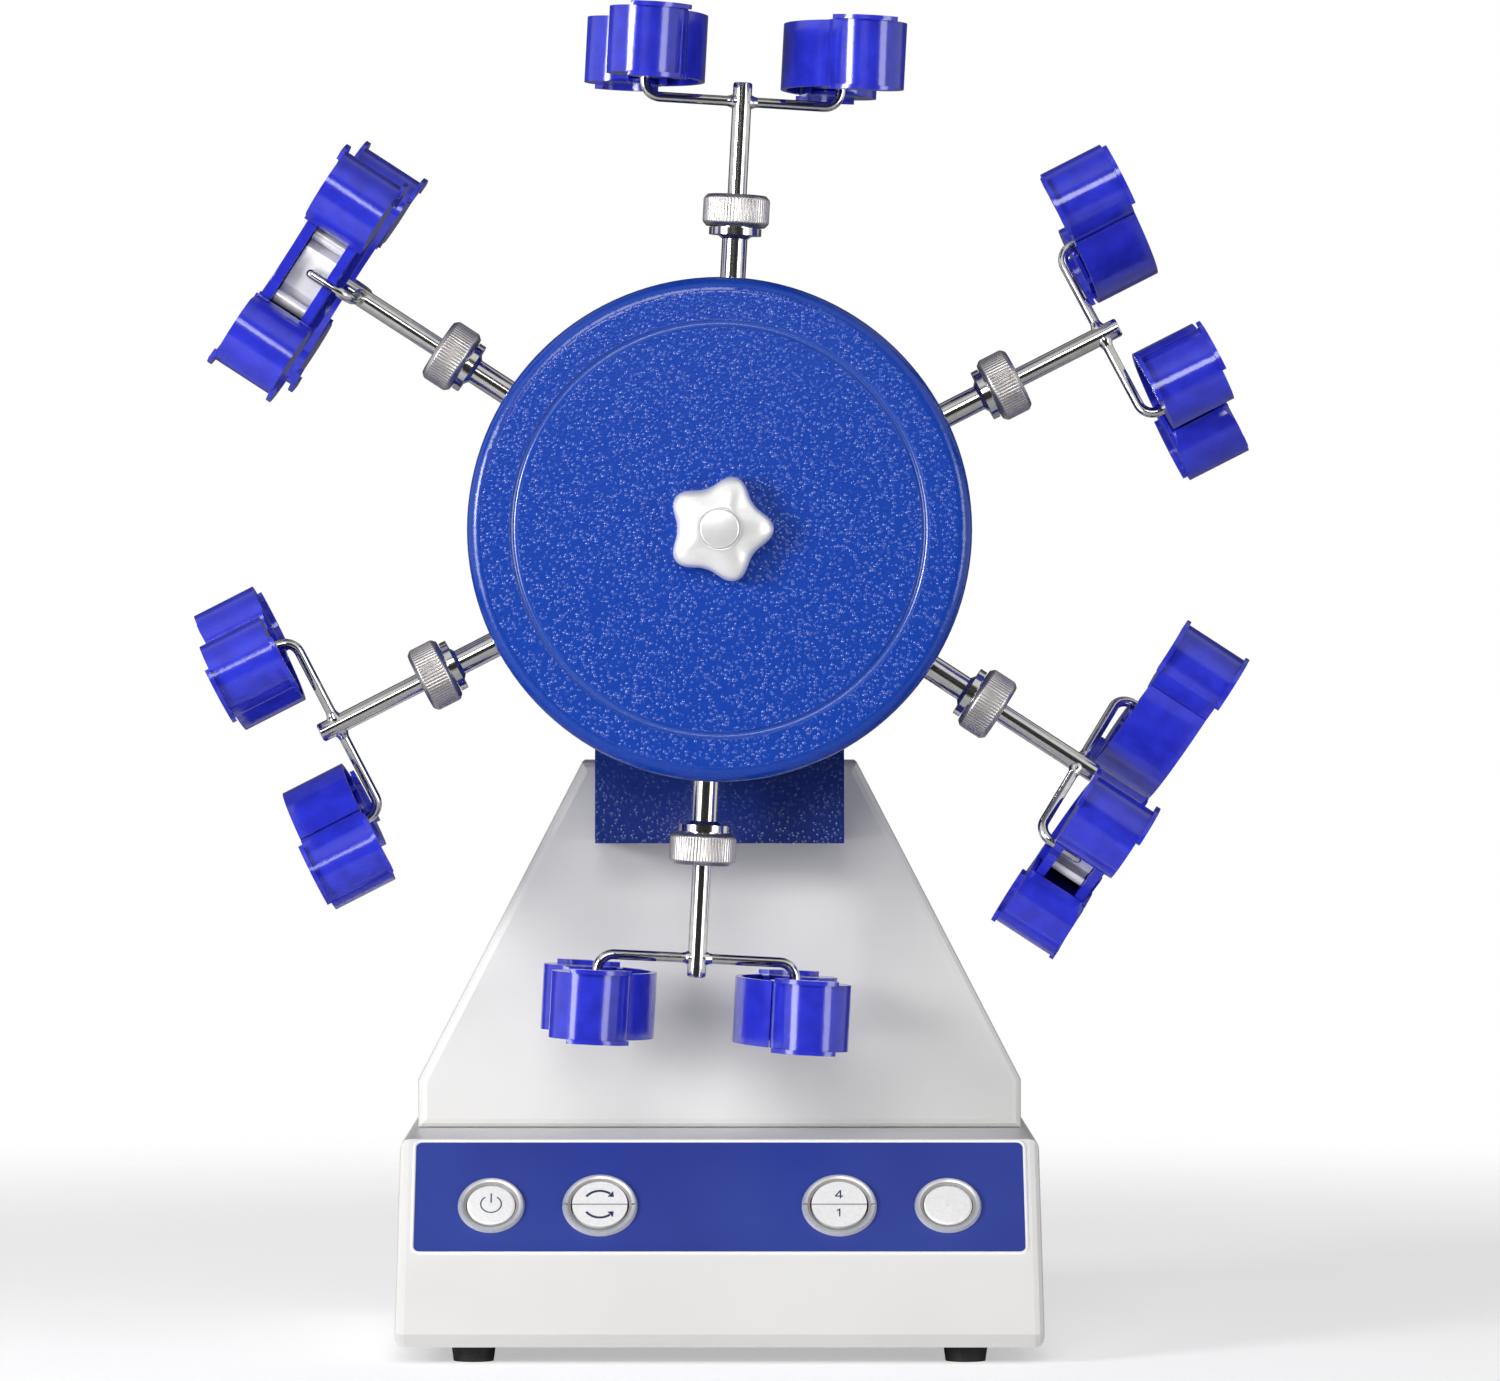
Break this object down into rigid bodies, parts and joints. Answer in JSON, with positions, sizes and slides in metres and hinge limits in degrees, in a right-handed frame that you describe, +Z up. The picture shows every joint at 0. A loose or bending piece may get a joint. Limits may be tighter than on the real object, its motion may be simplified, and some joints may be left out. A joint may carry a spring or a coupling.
{
  "type": "automatic watch winder",
  "caption": "Console stand with a drum whose arms spin as it turns, each ending in a cross wire with two spring-jaw watch holders.",
  "frame": {"origin": "on the floor under the middle of the whole object", "axes": "+Z up, -Y towards the viewer of the control panel, +X to the viewer's right; the drum's axis lies along Y"},
  "size_m": [0.332, 0.2118, 0.4199],
  "materials": {
    "white_shell": "moulded, satin white-grey",
    "dark_plate": "moulded, fine grain",
    "foot_rubber": "moulded, matt",
    "steel": "turned",
    "panel_blue": "printed polyester film",
    "satin_silver": "satin",
    "board_green": "solder mask",
    "black_plastic": "moulded",
    "navy_paint": "smooth and hammered stove enamel",
    "brass": "machined",
    "drum_paint": "gloss stove enamel",
    "drum_hammer_paint": "hammered stove enamel",
    "bronze": "sintered",
    "satin_aluminium": "satin turned",
    "button_white": "moulded, satin",
    "polished_steel": "polished stainless",
    "knurled_steel": "straight knurled",
    "holder_blue": "moulded, slightly translucent"
  },
  "bodies": {
    "stand": {"base_shell": "white_shell", "bottom_plate": "dark_plate", "rubber_feet": "foot_rubber", "screws": "steel", "control_panel": "panel_blue", "button_bezels": "satin_silver", "circuit_board": "board_green", "power_inlet": "black_plastic", "tower_shell": "white_shell", "gear_housing": "navy_paint", "drive_motor": "steel", "crown_gear": "brass", "shaft_bearings": "steel"},
    "drum": {"drum_shaft": "steel", "drum_body": "drum_paint", "drum_back_plate": "drum_paint", "drum_cover": "drum_hammer_paint", "spindle_bushes": "bronze"},
    "motor_pinion": {"drive_pinion": "brass"},
    "knob": {"star_knob": "satin_aluminium"},
    "on_off": {"on_off_button": "button_white"},
    "start_stop": {"start_stop_button": "button_white"},
    "direction": {"direction_rocker": "button_white"},
    "speed": {"speed_rocker": "button_white"},
    "arm_1": {"spindle_1": "polished_steel", "arm_1": "polished_steel", "holder_frames_1": "holder_blue"},
    "nut_1": {"knurled_nut_1": "knurled_steel"},
    "jaw_1_a": {"jaw_1_a": "holder_blue"},
    "jaw_1_b": {"jaw_1_b": "holder_blue"},
    "arm_2": {"spindle_2": "polished_steel", "arm_2": "polished_steel", "holder_frames_2": "holder_blue"},
    "nut_2": {"knurled_nut_2": "knurled_steel"},
    "jaw_2_a": {"jaw_2_a": "holder_blue"},
    "jaw_2_b": {"jaw_2_b": "holder_blue"},
    "arm_3": {"spindle_3": "polished_steel", "arm_3": "polished_steel", "holder_frames_3": "holder_blue"},
    "nut_3": {"knurled_nut_3": "knurled_steel"},
    "jaw_3_a": {"jaw_3_a": "holder_blue"},
    "jaw_3_b": {"jaw_3_b": "holder_blue"},
    "arm_4": {"spindle_4": "polished_steel", "arm_4": "polished_steel", "holder_frames_4": "holder_blue"},
    "nut_4": {"knurled_nut_4": "knurled_steel"},
    "jaw_4_a": {"jaw_4_a": "holder_blue"},
    "jaw_4_b": {"jaw_4_b": "holder_blue"},
    "arm_5": {"spindle_5": "polished_steel", "arm_5": "polished_steel", "holder_frames_5": "holder_blue"},
    "nut_5": {"knurled_nut_5": "knurled_steel"},
    "jaw_5_a": {"jaw_5_a": "holder_blue"},
    "jaw_5_b": {"jaw_5_b": "holder_blue"},
    "arm_6": {"spindle_6": "polished_steel", "arm_6": "polished_steel", "holder_frames_6": "holder_blue"},
    "nut_6": {"knurled_nut_6": "knurled_steel"},
    "jaw_6_a": {"jaw_6_a": "holder_blue"},
    "jaw_6_b": {"jaw_6_b": "holder_blue"}
  },
  "joints": [
    {"name": "drum_turn", "type": "hinge", "parent": "stand", "child": "drum", "pos_m": [0, -0.052, 0.257], "axis": [0, 1, 0], "continuous": true},
    {"name": "motor_turn", "type": "hinge", "parent": "stand", "child": "motor_pinion", "pos_m": [0, 0.004, 0.227], "axis": [0, 1, 0], "continuous": true},
    {"name": "knob_turn", "type": "hinge", "parent": "drum", "child": "knob", "pos_m": [0, -0.078, 0.257], "axis": [0, 1, 0], "continuous": true},
    {"name": "arm_1_turn", "type": "hinge", "parent": "drum", "child": "arm_1", "pos_m": [0.00207, -0.052, 0.29645], "axis": [0.0523, 0, 0.9986], "continuous": true},
    {"name": "nut_1_turn", "type": "hinge", "parent": "arm_1", "child": "nut_1", "pos_m": [0.00523, -0.052, 0.35686], "axis": [0.0523, 0, 0.9986], "continuous": true},
    {"name": "jaw_1_a_slide", "type": "slide", "parent": "arm_1", "child": "jaw_1_a", "axis": [-0.1476, 0.989, 0.0077], "range_m": [-0.006, 0], "stiffness_N_per_m": 400, "springref_m": 0.003},
    {"name": "jaw_1_b_slide", "type": "slide", "parent": "arm_1", "child": "jaw_1_b", "axis": [0.1476, -0.989, -0.0077], "range_m": [-0.006, 0], "stiffness_N_per_m": 400, "springref_m": 0.003},
    {"name": "arm_2_turn", "type": "hinge", "parent": "drum", "child": "arm_2", "pos_m": [0.03519, -0.052, 0.27493], "axis": [0.891, 0, 0.454], "continuous": true},
    {"name": "nut_2_turn", "type": "hinge", "parent": "arm_2", "child": "nut_2", "pos_m": [0.0891, -0.052, 0.3024], "axis": [0.891, 0, 0.454], "continuous": true},
    {"name": "jaw_2_a_slide", "type": "slide", "parent": "arm_2", "child": "jaw_2_a", "axis": [0.1478, 0.9455, -0.2901], "range_m": [-0.006, 0], "stiffness_N_per_m": 400, "springref_m": 0.003},
    {"name": "jaw_2_b_slide", "type": "slide", "parent": "arm_2", "child": "jaw_2_b", "axis": [-0.1478, -0.9455, 0.2901], "range_m": [-0.006, 0], "stiffness_N_per_m": 400, "springref_m": 0.003},
    {"name": "arm_3_turn", "type": "hinge", "parent": "drum", "child": "arm_3", "pos_m": [0.03313, -0.052, 0.23549], "axis": [0.8387, 0, -0.5446], "continuous": true},
    {"name": "nut_3_turn", "type": "hinge", "parent": "arm_3", "child": "nut_3", "pos_m": [0.08387, -0.052, 0.20254], "axis": [0.8387, 0, -0.5446], "continuous": true},
    {"name": "jaw_3_a_slide", "type": "slide", "parent": "arm_3", "child": "jaw_3_a", "axis": [-0.3201, 0.809, -0.493], "range_m": [-0.006, 0], "stiffness_N_per_m": 400, "springref_m": 0.003},
    {"name": "jaw_3_b_slide", "type": "slide", "parent": "arm_3", "child": "jaw_3_b", "axis": [0.3201, -0.809, 0.493], "range_m": [-0.006, 0], "stiffness_N_per_m": 400, "springref_m": 0.003},
    {"name": "arm_4_turn", "type": "hinge", "parent": "drum", "child": "arm_4", "pos_m": [-0.00207, -0.052, 0.21755], "axis": [-0.0523, 0, -0.9986], "continuous": true},
    {"name": "nut_4_turn", "type": "hinge", "parent": "arm_4", "child": "nut_4", "pos_m": [-0.00523, -0.052, 0.15714], "axis": [-0.0523, 0, -0.9986], "continuous": true},
    {"name": "jaw_4_a_slide", "type": "slide", "parent": "arm_4", "child": "jaw_4_a", "axis": [-0.0697, 0.9976, 0.0037], "range_m": [-0.006, 0], "stiffness_N_per_m": 400, "springref_m": 0.003},
    {"name": "jaw_4_b_slide", "type": "slide", "parent": "arm_4", "child": "jaw_4_b", "axis": [0.0697, -0.9976, -0.0037], "range_m": [-0.006, 0], "stiffness_N_per_m": 400, "springref_m": 0.003},
    {"name": "arm_5_turn", "type": "hinge", "parent": "drum", "child": "arm_5", "pos_m": [-0.03519, -0.052, 0.23907], "axis": [-0.891, 0, -0.454], "continuous": true},
    {"name": "nut_5_turn", "type": "hinge", "parent": "arm_5", "child": "nut_5", "pos_m": [-0.0891, -0.052, 0.2116], "axis": [-0.891, 0, -0.454], "continuous": true},
    {"name": "jaw_5_a_slide", "type": "slide", "parent": "arm_5", "child": "jaw_5_a", "axis": [-0.0944, 0.9781, 0.1853], "range_m": [-0.006, 0], "stiffness_N_per_m": 400, "springref_m": 0.003},
    {"name": "jaw_5_b_slide", "type": "slide", "parent": "arm_5", "child": "jaw_5_b", "axis": [0.0944, -0.9781, -0.1853], "range_m": [-0.006, 0], "stiffness_N_per_m": 400, "springref_m": 0.003},
    {"name": "arm_6_turn", "type": "hinge", "parent": "drum", "child": "arm_6", "pos_m": [-0.03313, -0.052, 0.27851], "axis": [-0.8387, 0, 0.5446], "continuous": true},
    {"name": "nut_6_turn", "type": "hinge", "parent": "arm_6", "child": "nut_6", "pos_m": [-0.08387, -0.052, 0.31146], "axis": [-0.8387, 0, 0.5446], "continuous": true},
    {"name": "jaw_6_a_slide", "type": "slide", "parent": "arm_6", "child": "jaw_6_a", "axis": [-0.5426, 0.0872, -0.8355], "range_m": [-0.006, 0], "stiffness_N_per_m": 400, "springref_m": 0.003},
    {"name": "jaw_6_b_slide", "type": "slide", "parent": "arm_6", "child": "jaw_6_b", "axis": [0.5426, -0.0872, 0.8355], "range_m": [-0.006, 0], "stiffness_N_per_m": 400, "springref_m": 0.003},
    {"name": "on_off_press", "type": "slide", "parent": "stand", "child": "on_off", "axis": [0, -0.766, 0.6428], "range_m": [-0.0012, 0], "stiffness_N_per_m": 500, "springref_m": 0.001},
    {"name": "start_stop_press", "type": "slide", "parent": "stand", "child": "start_stop", "axis": [0, -0.766, 0.6428], "range_m": [-0.0012, 0], "stiffness_N_per_m": 500, "springref_m": 0.001},
    {"name": "direction_rock", "type": "hinge", "parent": "stand", "child": "direction", "pos_m": [-0.0372, -0.06502, 0.04596], "axis": [1, 0, 0], "range_deg": [-4, 4], "stiffness_Nm_per_rad": 0.3},
    {"name": "speed_rock", "type": "hinge", "parent": "stand", "child": "speed", "pos_m": [0.0372, -0.06502, 0.04596], "axis": [1, 0, 0], "range_deg": [-4, 4], "stiffness_Nm_per_rad": 0.3}
  ],
  "couplings": [
    {"joint": "motor_turn", "follows": "drum_turn", "ratio": -4},
    {"joint": "arm_1_turn", "follows": "drum_turn", "ratio": 4},
    {"joint": "arm_2_turn", "follows": "drum_turn", "ratio": 4},
    {"joint": "arm_3_turn", "follows": "drum_turn", "ratio": 4},
    {"joint": "arm_4_turn", "follows": "drum_turn", "ratio": 4},
    {"joint": "arm_5_turn", "follows": "drum_turn", "ratio": 4},
    {"joint": "arm_6_turn", "follows": "drum_turn", "ratio": 4}
  ]
}
